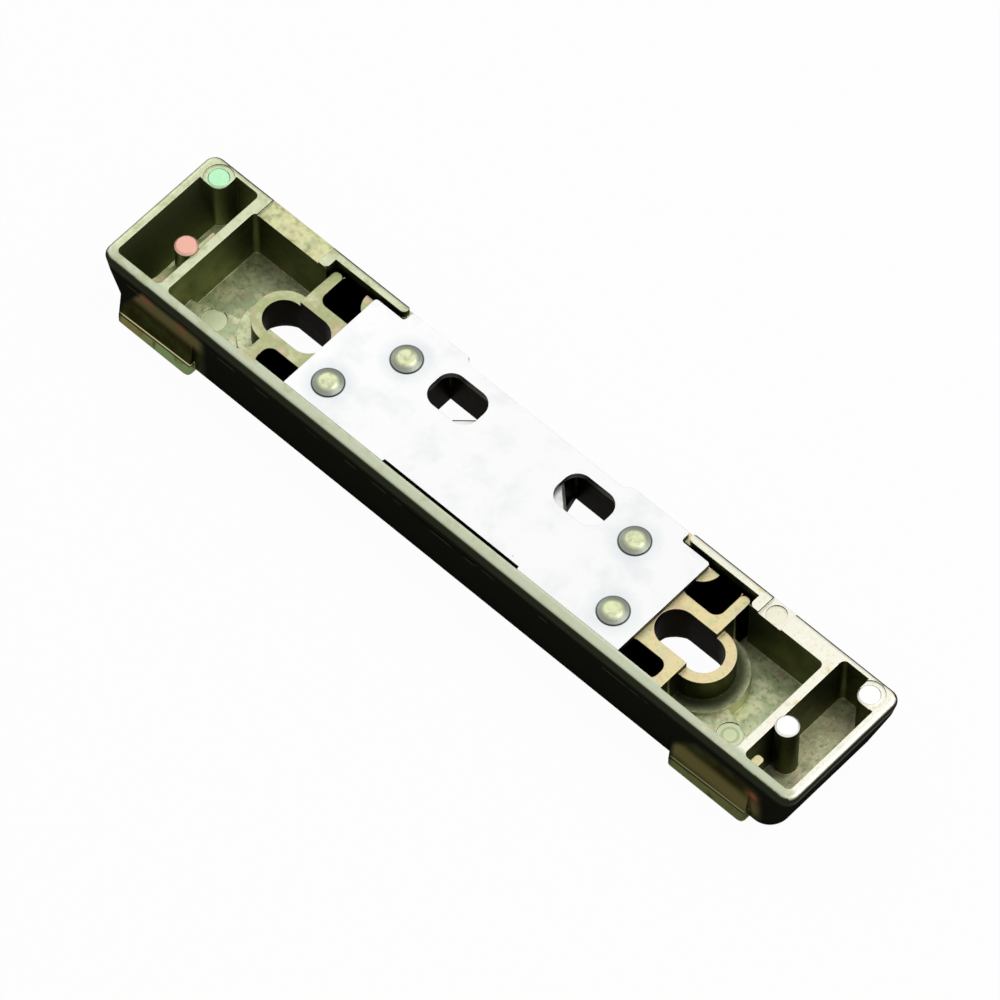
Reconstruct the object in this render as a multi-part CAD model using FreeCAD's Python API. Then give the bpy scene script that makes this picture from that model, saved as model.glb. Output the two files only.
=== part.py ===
# Window catch: a die-cast housing with a riveted steel back plate. Two sprung claws
# reach into two windows and hold the prongs of the strike; a slide pushes them back.
# It lies as in the photograph: front face down, open ribbed back up.
# X runs along the catch, +Y is the side that the slide is worked from. Millimetres.

import FreeCAD, Part
import math
import os

from FreeCAD import Vector

# Overall size of the housing
LENGTH = 123.8
WIDTH = 22.0
DEPTH = 11.6
PARTING_DROP = 3.1
PARTING_INSET = 0.55
END_INSET = 3.15
SIDE_INSET = 0.15
RIM_CORNER = 1.6
FRONT_CORNER = 3.2
RIM_ROUND = 0.75
FRONT_ROUND = 0.8

# Walls of the casting
FRONT_WALL = 2.3
END_WALL = 1.6
END_MOUTH_WALL = 1.0
REAR_WALL = 1.55
REAR_WALL_CENTRE = 1.95
MOUTH_WALL = 1.45
SHOULDER = 3.3
DRAFT = 0.12
POCKET_CORNER = 0.8

# Back plate
PLATE_THICKNESS = 1.0
PLATE_DROP = 0.3
PLATE_END = 29.95
PLATE_GAP = 0.15
PLATE_STEP_X = 24.85
PLATE_MOUTH_INSET = 0.4
PLATE_CORNER = 0.45
MOUTH_NOTCH = 0.85
MOUTH_NOTCH_HALF = 13.7
MOUTH_NOTCH_RAMP = 1.2
REAR_NOTCH = 0.45
REAR_NOTCH_HALF = 12.0
REAR_NOTCH_RAMP = 0.1

# Studs that are peened over the plate
STUD_RADIUS = 1.6
STUD_GAP = 0.05
STUD_HEAD_RADIUS = 2.2
STUD_HEAD_HEIGHT = 0.6
STUD_BOSS_RADIUS = 3.2
MOUTH_STUD = (20.45, 4.7)
REAR_STUD = (25.55, -5.0)

# Windows for the prongs of the strike, and the shaft of each in the casting
WINDOW_X = 11.35
WINDOW_Y = 4.85
WINDOW_LENGTH = 8.2
WINDOW_WIDTH = 5.9
WINDOW_CORNER = 2.3
SHAFT_CORNER = 0.4
SHAFT_WALL = 1.2
EXIT_SLANT = 1.45

# Screw slots
SLOT_X = 35.3
SLOT_Y = -0.87
SLOT_LENGTH = 10.55
SLOT_WIDTH = 5.85
RING_WALL = 1.5
RING_DROP = 2.3
HEAD_RECESS_RADIUS = 4.7
HEAD_RECESS_DEPTH = 3.3

# Web block between the plate and the middle compartments
WEB_WALL = 1.55
WEB_EDGE = 37.35
WEB_STRIP = 1.75
WEB_TOP_Y = 8.9
WEB_TIP_ROUND = 0.7
WEB_POCKET_CORNER = 1.4
POCKET_INNER = 29.2
LAND_RADIUS = 3.05
LAND_OFFSET = 0.6

# Mouth side of the rim
THIN_WALL_END = 25.45
RELIEF_GAP = 0.7
RELIEF_END = 37.95
RELIEF_FOOT_DROP = 4.0
SHOULDER_START = 39.45
SHOULDER_ROUND = 0.7
LABEL_DEPTH = 0.4
LABEL_LEFT_INSET = 11.3
LABEL_RIGHT_LENGTH = 3.95
EJECTOR_RADIUS = 1.45
EJECTOR_INSET = 1.95

# Dividers and end compartments
DIVIDER_INSET = 10.85
DIVIDER_WALL = 1.3

# Locating pins and their neighbours in the end compartments
PIN_RADIUS = 1.65
PIN_PROUD = 0.6
PIN_CHAMFER = 0.3
TALL_PIN_INSET = 8.05
TALL_PIN_Y = -2.6
CORNER_PIN_END_INSET = 3.55
CORNER_PIN_SIDE_INSET = 2.7
CORNER_RELIEF = 0.5
CORNER_RELIEF_DEPTH = 0.2
GUSSET_WIDTH = 2.1
GUSSET_DROP = 1.2
GUSSET_FALL = 2.0
POST_WIDTH = 1.3
POST_LENGTH = 2.4
FIN_WIDTH = 0.5
FIN_LENGTH = 3.6
FIN_DROP = 2.6
SMALL_FIN_INSET = 1.3
SMALL_FIN_LENGTH = 1.5
SMALL_FIN_DROP = 1.6

# Raised floor round the slots
PLATEAU_WALL = 1.7
FLOOR_PAD_HEIGHT = 2.1
FLOOR_MARK_INSET = 4.55
FLOOR_MARK_Y = -5.25
FLOOR_MARK_RADIUS = 1.85
PAD_BEYOND_MARK = 1.2
MARK_DEPTH = 0.2

# Feet low on the rear side: a hollow sweep that ends in a ridge and a sloping lip
FOOT_LENGTH = 13.3
FOOT_LEFT_INSET = 3.8
FOOT_RIGHT_INSET = 7.0
FOOT_TOP = 8.2
FOOT_PROUD = 1.25
FOOT_RIDGE = 0.65
FOOT_RIDGE_START_Z = 1.4
FOOT_RIDGE_END_Z = 2.15
FOOT_EDGE = 0.25
FOOT_ROOT = 2.0
FOOT_END_ROUND = 0.9

# Gate mark on the rear side
GATE_HALF = 6.5
GATE_PROUD = 0.12
GATE_HEIGHT = 0.6
GATE_DROP = 2.8

# Chamber under the plate
CHAMBER_END = 28.2
CHAMBER_FLOOR_WALL = 1.7
MOUTH_CLEARANCE = 0.1
FRONT_TRAY_HALF = 26.0
FRONT_TRAY_EDGE = 1.6
FRONT_TRAY_CORNER = 2.0

# Claws
CLAW_THICKNESS = 2.0
CLAW_GAP = 0.1
CLAW_PIVOT = (17.0, -3.6)
CLAW_EYE_RADIUS = 3.3
CLAW_PIN_RADIUS = 1.5
CLAW_PIN_FIT = 0.05
CLAW_PIN_SEAT = 0.02
CLAW_PIN_DEPTH = 3.4
NOSE_REACH_Y = 3.55
NOSE_REACH_X = 3.85
NOSE_BEVEL = 0.45
NOSE_COVER = 0.6
TAB_THICKNESS = 1.6
TAB_INNER = 5.2
TAB_OUTER = 9.4
TAB_Y = -3.6
BOSS_GAP = 0.1
NOSE_CLEARANCE = 0.3

# Release slide
SLIDE_CLEARANCE = 0.2
SLIDE_FOOT_HALF = 7.0
SLIDE_STEM_HALF = 4.3
SLIDE_HEAD_INSET = 0.8
SLIDE_STOP_GAP = 0.15
SLIDE_ROUND = 0.4

# Springs
SPRING_END_GAP = 0.03
SPIGOT_CLEARANCE = 0.3
SPIGOT_LENGTH = 0.8
CLAW_SPRING_RADIUS = 1.65
CLAW_SPRING_WIRE = 0.22
CLAW_SPRING_TURNS = 4.5
CLAW_SPRING_X = 7.3
SLIDE_SPRING_RADIUS = 1.85
SLIDE_SPRING_WIRE = 0.25
SLIDE_SPRING_TURNS = 5.5

# Levels and edges that follow from the sizes above
RIM_Z = DEPTH
PARTING_Z = RIM_Z - PARTING_DROP
PLATE_TOP = RIM_Z - PLATE_DROP
DECK_Z = PLATE_TOP - PLATE_THICKNESS
CHAMBER_FLOOR = HEAD_RECESS_DEPTH + CHAMBER_FLOOR_WALL
PLATEAU_Z = HEAD_RECESS_DEPTH + PLATEAU_WALL
RING_Z = RIM_Z - RING_DROP
HALF_WIDTH = WIDTH / 2
HALF_LENGTH = LENGTH / 2
REAR_INNER = -HALF_WIDTH + REAR_WALL
REAR_INNER_CENTRE = -HALF_WIDTH + REAR_WALL_CENTRE
MOUTH_INNER = HALF_WIDTH - MOUTH_WALL
SHOULDER_INNER = HALF_WIDTH - SHOULDER
WEB_OUTER = WEB_EDGE - WEB_WALL
MOUTH_HALF = MOUTH_NOTCH_HALF + MOUTH_NOTCH_RAMP + MOUTH_CLEARANCE
DIVIDER_X = HALF_LENGTH - DIVIDER_INSET
DIVIDER_OUTER = DIVIDER_X + DIVIDER_WALL
TALL_PIN_X = HALF_LENGTH - TALL_PIN_INSET
CORNER_PIN_X = HALF_LENGTH - CORNER_PIN_END_INSET
CORNER_PIN_Y = HALF_WIDTH - CORNER_PIN_SIDE_INSET
FLOOR_MARK_X = DIVIDER_X - FLOOR_MARK_INSET
SLOT_RADIUS = SLOT_WIDTH / 2
SLOT_END_X = SLOT_X + SLOT_LENGTH / 2 - SLOT_RADIUS
SLOT_START_X = SLOT_X - SLOT_LENGTH / 2 + SLOT_RADIUS
WINDOW_INNER = WINDOW_X - WINDOW_LENGTH / 2
WINDOW_OUTER = WINDOW_X + WINDOW_LENGTH / 2
WINDOW_LOW = WINDOW_Y - WINDOW_WIDTH / 2
WINDOW_HIGH = WINDOW_Y + WINDOW_WIDTH / 2
PLATE_REAR_Y = REAR_INNER_CENTRE + PLATE_GAP
PLATE_MOUTH_Y = HALF_WIDTH - PLATE_MOUTH_INSET
CLAW_TOP = DECK_Z - CLAW_GAP
CLAW_BOTTOM = CLAW_TOP - CLAW_THICKNESS
BOSS_Z = CLAW_BOTTOM - BOSS_GAP
NOSE_HIGH_Y = WINDOW_LOW + NOSE_REACH_Y * (1 + NOSE_COVER / NOSE_REACH_X)
SHAFT_LOW_Z = CLAW_BOTTOM - NOSE_CLEARANCE
SLIDE_BOTTOM = CHAMBER_FLOOR + SLIDE_CLEARANCE
SLIDE_FOOT_TOP = CLAW_BOTTOM - SLIDE_CLEARANCE
TAB_FRONT_Y = TAB_Y + TAB_THICKNESS
SLIDE_REAR_Y = TAB_FRONT_Y + CLAW_GAP
SLIDE_STOP_Y = WINDOW_LOW - SHAFT_WALL - SLIDE_STOP_GAP
SLIDE_HEAD_Y = HALF_WIDTH - SLIDE_HEAD_INSET
SPRING_Z = (CHAMBER_FLOOR + DECK_Z) / 2
ORIGIN_SHIFT = Vector(0, FOOT_PROUD / 2, 0)

# How far cuts run past the metal, and how deep added metal is rooted in it
OVER = 2.0
ROOT = 0.5


# Shapes that several pieces share

def rounded_rect(x0, x1, y0, y1, radius, z):
    """Closed wire of a rectangle with round corners at height z."""
    diagonal = radius * (1 - math.sqrt(0.5))
    points = [Vector(x0 + radius, y0, z), Vector(x1 - radius, y0, z),
              Vector(x1, y0 + radius, z), Vector(x1, y1 - radius, z),
              Vector(x1 - radius, y1, z), Vector(x0 + radius, y1, z),
              Vector(x0, y1 - radius, z), Vector(x0, y0 + radius, z)]
    middles = [Vector(x1 - diagonal, y0 + diagonal, z), Vector(x1 - diagonal, y1 - diagonal, z),
               Vector(x0 + diagonal, y1 - diagonal, z), Vector(x0 + diagonal, y0 + diagonal, z)]
    edges = []
    for side in range(4):
        start = points[2 * side]
        end = points[2 * side + 1]
        after = points[(2 * side + 2) % 8]
        edges.append(Part.LineSegment(start, end).toShape())
        edges.append(Part.Arc(end, middles[side], after).toShape())
    return Part.Wire(edges)


def prism(wire, height):
    """Solid that stands on a closed wire."""
    return Part.Face(wire).extrude(Vector(0, 0, height))


def block(x0, x1, y0, y1, z0, z1):
    """Plain box between two corners."""
    return Part.makeBox(x1 - x0, y1 - y0, z1 - z0, Vector(x0, y0, z0))


def rounded_block(x0, x1, y0, y1, z0, z1, radius):
    """Box with round upright edges."""
    return prism(rounded_rect(x0, x1, y0, y1, radius, z0), z1 - z0)


def post(x, y, radius, z0, z1):
    """Upright round post."""
    return Part.makeCylinder(radius, z1 - z0, Vector(x, y, z0))


def slot_solid(x0, x1, y, radius, z0, z1):
    """Upright solid with two round ends whose centres are x0 and x1."""
    straight = block(x0, x1, y - radius, y + radius, z0, z1)
    return straight.fuse([post(x0, y, radius, z0, z1), post(x1, y, radius, z0, z1)]).removeSplitter()


def polygon_solid(points, z0, z1):
    """Upright solid on a straight-sided outline of (x, y) points."""
    corners = [Vector(x, y, z0) for x, y in points]
    return prism(Part.makePolygon(corners + corners[:1]), z1 - z0)


def corner_rounding(x, y, radius, z0, z1):
    """What is cut off to round an upright corner at (x, y) of a solid that lies beyond it."""
    return block(x, x + radius, y, y + radius, z0, z1).cut(post(x + radius, y + radius, radius, z0, z1))


def drafted_pocket(x0, x1, y0, y1, z0, z1, outer_floor=None):
    """Cavity that narrows by the draft towards its floor."""
    floor_x1 = x1 - DRAFT if outer_floor is None else outer_floor
    top = rounded_rect(x0, x1, y0, y1, POCKET_CORNER, z1)
    floor = rounded_rect(x0 + DRAFT, floor_x1, y0 + DRAFT, y1 - DRAFT, POCKET_CORNER, z0)
    return Part.makeLoft([floor, top], True, True)


def mirrored(shape):
    """The same shape on the other end of the catch."""
    return shape.mirror(Vector(0, 0, 0), Vector(1, 0, 0))


def both_ends(shapes):
    """Each shape and its mirror image."""
    return shapes + [mirrored(shape) for shape in shapes]


def end_face_x(z):
    """Outer face of the end wall at height z, steeper above the parting line than below."""
    if z > PARTING_Z:
        return HALF_LENGTH - PARTING_INSET * (RIM_Z - z) / PARTING_DROP
    return HALF_LENGTH - END_INSET + (END_INSET - PARTING_INSET) * z / PARTING_Z


# Housing casting

def outer_section(z, side_inset, corner):
    """Outline of the casting at height z."""
    return rounded_rect(-end_face_x(z), end_face_x(z), -HALF_WIDTH + side_inset, HALF_WIDTH - side_inset,
                        corner, z)


def housing_body():
    """Drafted outside of the casting with rounded rim and front edges."""
    drop_share = PARTING_DROP / DEPTH
    parting_corner = RIM_CORNER + (FRONT_CORNER - RIM_CORNER) * drop_share
    body = Part.makeLoft([outer_section(0, SIDE_INSET, FRONT_CORNER),
                          outer_section(PARTING_Z, SIDE_INSET * drop_share, parting_corner),
                          outer_section(RIM_Z, 0, RIM_CORNER)], True, True)
    rim_edges = [edge for edge in body.Edges if edge.BoundBox.ZMin > RIM_Z - 0.01]
    body = body.makeFillet(RIM_ROUND, rim_edges)
    front_edges = [edge for edge in body.Edges if edge.BoundBox.ZMax < 0.01]
    return body.makeFillet(FRONT_ROUND, front_edges)


def foot_section(x, ridge_z):
    """Profile of a foot at x, with the ridge between its hollow sweep and its lip at ridge_z."""
    side = -HALF_WIDTH
    top = Vector(x, side + SIDE_INSET, FOOT_TOP)
    hollow = Vector(x, side - FOOT_RIDGE * 0.2, (FOOT_TOP + ridge_z) / 2)
    ridge = Vector(x, side - FOOT_RIDGE, ridge_z)
    lip = Vector(x, side - FOOT_PROUD, FOOT_EDGE)
    under = Vector(x, side - FOOT_PROUD + FOOT_EDGE, 0)
    inside_low = Vector(x, side + FOOT_ROOT, 0)
    inside_top = Vector(x, side + FOOT_ROOT, FOOT_TOP)
    corners = [ridge, lip, under, inside_low, inside_top, top]
    edges = [Part.Arc(top, hollow, ridge).toShape()]
    for start, end in zip(corners, corners[1:]):
        edges.append(Part.LineSegment(start, end).toShape())
    return Part.Wire(edges)


def foot(start_x):
    """Foot low on the rear side, whose lip grows along +X."""
    end_x = start_x + FOOT_LENGTH
    sweep = Part.makeLoft([foot_section(start_x, FOOT_RIDGE_START_Z), foot_section(end_x, FOOT_RIDGE_END_Z)],
                          True, True)
    outline = rounded_block(start_x, end_x, -HALF_WIDTH - FOOT_PROUD, -HALF_WIDTH + FOOT_ROOT * 2, 0, FOOT_TOP,
                            FOOT_END_ROUND)
    return sweep.common(outline)


def feet():
    """Left and right foot, the same form at different distances from the ends."""
    return [foot(-HALF_LENGTH + FOOT_LEFT_INSET), foot(HALF_LENGTH - FOOT_RIGHT_INSET - FOOT_LENGTH)]


def compartments():
    """Open cavities at the two ends and beside the web blocks."""
    end_floor_x = end_face_x(FRONT_WALL) - END_WALL
    end_top_x = HALF_LENGTH - END_WALL
    top = RIM_Z + OVER
    slope = (end_top_x - end_floor_x) / (RIM_Z - FRONT_WALL)
    end = drafted_pocket(DIVIDER_OUTER, end_top_x + slope * OVER, REAR_INNER, HALF_WIDTH - END_MOUTH_WALL,
                         FRONT_WALL, top, outer_floor=end_floor_x)
    middle = drafted_pocket(WEB_EDGE, DIVIDER_X, REAR_INNER, SHOULDER_INNER, FRONT_WALL, top)
    return both_ends([end, middle])


def web_pockets():
    """Two pockets in each web block, and the groove along the mouth wall and the shoulder's foot."""
    strip_high = SLOT_Y + SLOT_RADIUS + WEB_STRIP
    strip_low = SLOT_Y - SLOT_RADIUS - WEB_STRIP
    top = RIM_Z + OVER
    land = post(POCKET_INNER - LAND_OFFSET, WEB_TOP_Y, LAND_RADIUS, FRONT_WALL, top)
    mouth_pocket = rounded_block(POCKET_INNER, WEB_OUTER, strip_high, MOUTH_INNER, FRONT_WALL, top,
                                 WEB_POCKET_CORNER)
    rear_pocket = rounded_block(POCKET_INNER, WEB_OUTER, REAR_INNER_CENTRE, strip_low, FRONT_WALL,
                                top, WEB_POCKET_CORNER)
    relief = block(THIN_WALL_END - RELIEF_GAP, RELIEF_END, WEB_TOP_Y, MOUTH_INNER, FRONT_WALL, top)
    relief_wall_foot = block(THIN_WALL_END - RELIEF_GAP, POCKET_INNER, WEB_TOP_Y, MOUTH_INNER,
                             FRONT_WALL, DECK_Z - RELIEF_FOOT_DROP)
    web_tip = rounded_block(WEB_OUTER, WEB_EDGE, strip_high, WEB_TOP_Y, FRONT_WALL, top, WEB_TIP_ROUND)
    beside_tip = block(WEB_OUTER, RELIEF_END, WEB_TOP_Y - WEB_TIP_ROUND, MOUTH_INNER, FRONT_WALL, top)
    groove = block(WEB_EDGE, RELIEF_END, SHOULDER_INNER - OVER, MOUTH_INNER, FRONT_WALL, top)
    shoulder_foot = corner_rounding(RELIEF_END, SHOULDER_INNER, SHOULDER_ROUND, FRONT_WALL, top)
    return both_ends([mouth_pocket.cut(land), rear_pocket, relief.cut(relief_wall_foot),
                      beside_tip.cut(web_tip), groove, shoulder_foot])


def deck_cut():
    """Room for the plate above the deck, out to the mouth side between the thin walls."""
    top = RIM_Z + OVER
    under_plate = block(-WEB_EDGE, WEB_EDGE, REAR_INNER_CENTRE, MOUTH_INNER, DECK_Z, top)
    web_face = WEB_EDGE + DRAFT
    web_sides = block(-web_face, web_face, REAR_INNER_CENTRE, SHOULDER_INNER, DECK_Z, top)
    mouth_side = block(-THIN_WALL_END, THIN_WALL_END, 0, HALF_WIDTH + OVER, DECK_Z, top)
    stub_radius = MOUTH_WALL / 2
    stub = post(THIN_WALL_END + stub_radius, HALF_WIDTH - stub_radius, stub_radius, DECK_Z, top)
    beyond = block(THIN_WALL_END, THIN_WALL_END + stub_radius, MOUTH_INNER, HALF_WIDTH + OVER, DECK_Z, top)
    stub_end = beyond.cut(stub)
    return [under_plate, web_sides, mouth_side] + both_ends([stub_end])


def label_recesses():
    """Shallow recesses in the mouth-side shoulder, the right one with an ejector mark."""
    inner = SHOULDER_INNER - OVER
    floor = RIM_Z - LABEL_DEPTH
    left = block(-HALF_LENGTH + LABEL_LEFT_INSET, -SHOULDER_START, inner, HALF_WIDTH + OVER,
                 floor, RIM_Z + OVER)
    right = block(SHOULDER_START, SHOULDER_START + LABEL_RIGHT_LENGTH, inner, HALF_WIDTH + OVER,
                  floor, RIM_Z + OVER)
    mark = post(SHOULDER_START + EJECTOR_INSET, SHOULDER_INNER + EJECTOR_RADIUS, EJECTOR_RADIUS,
                floor - MARK_DEPTH, RIM_Z)
    return [left, right, mark]


def chamber():
    """Room for the claws and the slide, open to the mouth side in the middle."""
    inside = rounded_block(-CHAMBER_END, CHAMBER_END, REAR_INNER_CENTRE, MOUTH_INNER,
                           CHAMBER_FLOOR, DECK_Z + OVER, POCKET_CORNER)
    mouth = block(-MOUTH_HALF, MOUTH_HALF, MOUTH_INNER - 1.0, HALF_WIDTH + OVER,
                  CHAMBER_FLOOR, DECK_Z + OVER)
    return [inside, mouth]


def front_recesses():
    """Recess for the strike in the front face, and one for each screw head."""
    edge = HALF_WIDTH - FRONT_TRAY_EDGE
    tray = rounded_block(-FRONT_TRAY_HALF, FRONT_TRAY_HALF, -edge, edge, -OVER, HEAD_RECESS_DEPTH,
                         FRONT_TRAY_CORNER)
    head = slot_solid(SLOT_START_X, SLOT_END_X, SLOT_Y, HEAD_RECESS_RADIUS, -OVER, HEAD_RECESS_DEPTH)
    return [tray] + both_ends([head])


def slot_bosses():
    """Ring round the outer end of each screw slot, and the raised floor over its head recess."""
    ring = post(SLOT_END_X, SLOT_Y, SLOT_RADIUS + RING_WALL, FRONT_WALL, RING_Z)
    plateau = slot_solid(SLOT_START_X, SLOT_END_X, SLOT_Y, HEAD_RECESS_RADIUS + PLATEAU_WALL, FRONT_WALL,
                         PLATEAU_Z)
    pad_low = FRONT_WALL - ROOT
    pad_top = FRONT_WALL + FLOOR_PAD_HEIGHT
    pad_outline = [(SLOT_END_X + SLOT_RADIUS, SLOT_Y - ROOT), (DIVIDER_X + ROOT, FLOOR_MARK_Y),
                   (DIVIDER_X + ROOT, REAR_INNER - ROOT), (FLOOR_MARK_X - PAD_BEYOND_MARK, REAR_INNER - ROOT),
                   (SLOT_END_X + SLOT_RADIUS, SLOT_Y - HEAD_RECESS_RADIUS)]
    pad = polygon_solid(pad_outline, pad_low, pad_top)
    mark = post(FLOOR_MARK_X, FLOOR_MARK_Y, FLOOR_MARK_RADIUS, pad_top - MARK_DEPTH, pad_top + OVER)
    return both_ends([ring, plateau, pad.cut(mark)])


def pin(x, y, top):
    """Locating pin with a chamfered end."""
    plain = post(x, y, PIN_RADIUS, FRONT_WALL - ROOT, top)
    return plain.makeChamfer(PIN_CHAMFER, [edge for edge in plain.Edges if edge.BoundBox.ZMin > top - 0.01])


def corner_fills():
    """Metal between each corner pin and the walls, with a shallow ring sunk round the pin."""
    low = FRONT_WALL - ROOT
    along_end = block(CORNER_PIN_X, HALF_LENGTH, CORNER_PIN_Y - PIN_RADIUS, HALF_WIDTH, low, RIM_Z)
    along_side = block(CORNER_PIN_X - PIN_RADIUS, HALF_LENGTH, CORNER_PIN_Y, HALF_WIDTH, low, RIM_Z)
    fill = along_end.fuse(along_side).common(housing_body())
    return both_ends([fill])


def corner_rings():
    """The shallow ring round each corner pin."""
    return both_ends([post(CORNER_PIN_X, CORNER_PIN_Y, PIN_RADIUS + CORNER_RELIEF,
                           RIM_Z - CORNER_RELIEF_DEPTH, RIM_Z + OVER)])


def locating_pins():
    """Tall pin beside each divider and shorter pin in each mouth-side corner."""
    tall = pin(TALL_PIN_X, TALL_PIN_Y, RIM_Z + PIN_PROUD)
    corner = pin(CORNER_PIN_X, CORNER_PIN_Y, RIM_Z).common(housing_body())
    return both_ends([tall, corner])


def upright_rib(x, width, y0, y1, top_at_y0, top_at_y1):
    """Rib on the front wall whose top slopes along Y, from x to x + width."""
    profile = [Vector(x, y0, FRONT_WALL - ROOT), Vector(x, y1, FRONT_WALL - ROOT),
               Vector(x, y1, top_at_y1), Vector(x, y0, top_at_y0)]
    return Part.Face(Part.makePolygon(profile + profile[:1])).extrude(Vector(width, 0, 0))


def end_gussets():
    """Sloping rib and fins in the left end, small post in the right end."""
    wall = REAR_INNER - ROOT
    rib = upright_rib(-DIVIDER_OUTER - GUSSET_WIDTH, GUSSET_WIDTH + ROOT, wall, TALL_PIN_Y - PIN_RADIUS,
                      RIM_Z - GUSSET_DROP, RIM_Z - GUSSET_DROP - GUSSET_FALL)
    fin_end = TALL_PIN_Y + PIN_RADIUS + FIN_LENGTH
    fin = upright_rib(-TALL_PIN_X - FIN_WIDTH / 2, FIN_WIDTH, TALL_PIN_Y, fin_end, RIM_Z - FIN_DROP,
                      RIM_Z - FIN_DROP)
    small_fin = upright_rib(-DIVIDER_X + SMALL_FIN_INSET, FIN_WIDTH, wall, REAR_INNER + SMALL_FIN_LENGTH,
                            RIM_Z - SMALL_FIN_DROP, FRONT_WALL)
    end_post = rounded_block(TALL_PIN_X - POST_WIDTH / 2, TALL_PIN_X + POST_WIDTH / 2, wall,
                             wall + POST_LENGTH, FRONT_WALL - ROOT, RIM_Z - GUSSET_DROP, POST_WIDTH * 0.4)
    return [rib, fin, small_fin, end_post]


def stud_places():
    """Centres of the four studs."""
    return [(sign * x, y) for x, y in (MOUTH_STUD, REAR_STUD) for sign in (-1, 1)]


def stud(x, y):
    """Boss under the plate, stud through it and the peened head on top."""
    boss = post(x, y, STUD_BOSS_RADIUS, CHAMBER_FLOOR, DECK_Z)
    shank = post(x, y, STUD_RADIUS, DECK_Z - 1.0, PLATE_TOP + 0.1)
    head_points = [Vector(0, 0, 0), Vector(STUD_HEAD_RADIUS, 0, 0), Vector(STUD_HEAD_RADIUS, 0, 0.1),
                   Vector(STUD_HEAD_RADIUS * 0.62, 0, STUD_HEAD_HEIGHT * 0.8),
                   Vector(STUD_HEAD_RADIUS * 0.52, 0, STUD_HEAD_HEIGHT), Vector(0, 0, STUD_HEAD_HEIGHT)]
    head = Part.Face(Part.makePolygon(head_points + head_points[:1])).revolve(
        Vector(0, 0, 0), Vector(0, 0, 1), 360)
    head.translate(Vector(x, y, PLATE_TOP))
    return boss.fuse([shank, head])


def window_shaft():
    """Walls of the shaft behind one window, low where the claw passes over them."""
    outer = block(WINDOW_INNER - SHAFT_WALL, WINDOW_OUTER + SHAFT_WALL, WINDOW_LOW - SHAFT_WALL,
                  WINDOW_HIGH + SHAFT_WALL, CHAMBER_FLOOR - 0.5, DECK_Z)
    claw_way = polygon_solid([(WINDOW_INNER - SHAFT_WALL - 1.0, WINDOW_LOW - SHAFT_WALL - 1.0),
                              (WINDOW_OUTER + SHAFT_WALL + 1.0, WINDOW_LOW - SHAFT_WALL - 1.0),
                              (WINDOW_OUTER + SHAFT_WALL + 1.0, WINDOW_LOW),
                              (WINDOW_X, WINDOW_LOW),
                              (WINDOW_X, NOSE_HIGH_Y + NOSE_CLEARANCE),
                              (WINDOW_INNER - SHAFT_WALL - 1.0, NOSE_HIGH_Y + NOSE_CLEARANCE)],
                             SHAFT_LOW_Z, DECK_Z + OVER)
    return outer.cut(claw_way)


def window_hole():
    """Opening of one window shaft down to its exit, whose inner edge slants."""
    shaft = rounded_block(WINDOW_INNER, WINDOW_OUTER, WINDOW_LOW, WINDOW_HIGH, CHAMBER_FLOOR,
                          DECK_Z + OVER, SHAFT_CORNER)
    exit_hole = polygon_solid([(WINDOW_INNER, WINDOW_HIGH), (WINDOW_INNER + EXIT_SLANT, WINDOW_LOW),
                               (WINDOW_OUTER, WINDOW_LOW), (WINDOW_OUTER, WINDOW_HIGH)],
                              -OVER, CHAMBER_FLOOR + OVER)
    return shaft.fuse(exit_hole)


def screw_slot():
    """Slot for one fixing screw, through the ring and the front wall."""
    return slot_solid(SLOT_START_X, SLOT_END_X, SLOT_Y, SLOT_RADIUS, -OVER, RIM_Z + OVER)


def pivot_boss():
    """Boss that holds one claw pin."""
    return post(CLAW_PIVOT[0], CLAW_PIVOT[1], CLAW_EYE_RADIUS - 0.2, CHAMBER_FLOOR - 0.5, BOSS_Z)


def pivot_bore():
    """Blind bore for one claw pin."""
    return post(CLAW_PIVOT[0], CLAW_PIVOT[1], CLAW_PIN_RADIUS + CLAW_PIN_SEAT,
                BOSS_Z - CLAW_PIN_DEPTH, BOSS_Z + OVER)


def spigot(x, y, radius, direction):
    """Stub that centres a spring end, pointing along Y."""
    return Part.makeCylinder(radius, SPIGOT_LENGTH, Vector(x, y, SPRING_Z), Vector(0, direction, 0))


def claw_spigot_radius():
    return CLAW_SPRING_RADIUS - CLAW_SPRING_WIRE - SPIGOT_CLEARANCE


def slide_spigot_radius():
    return SLIDE_SPRING_RADIUS - SLIDE_SPRING_WIRE - SPIGOT_CLEARANCE


def housing_casting():
    gate_top = RIM_Z - GATE_DROP
    gate = block(-GATE_HALF, GATE_HALF, -HALF_WIDTH - GATE_PROUD, -HALF_WIDTH + ROOT,
                 gate_top - GATE_HEIGHT, gate_top)
    body = housing_body().fuse(feet() + [gate])
    body = body.cut(compartments() + web_pockets() + label_recesses() + deck_cut() + chamber())
    body = body.fuse(corner_fills()).cut(corner_rings())
    spring_seats = [spigot(0, REAR_INNER_CENTRE, slide_spigot_radius(), 1)]
    spring_seats += both_ends([spigot(CLAW_SPRING_X, REAR_INNER_CENTRE, claw_spigot_radius(), 1)])
    studs = [stud(x, y) for x, y in stud_places()]
    body = body.fuse(slot_bosses() + locating_pins() + end_gussets() + studs + spring_seats
                     + both_ends([window_shaft(), pivot_boss()]))
    body = body.cut(front_recesses() + both_ends([screw_slot(), window_hole(), pivot_bore()]))
    return body.removeSplitter()


# Back plate

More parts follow.
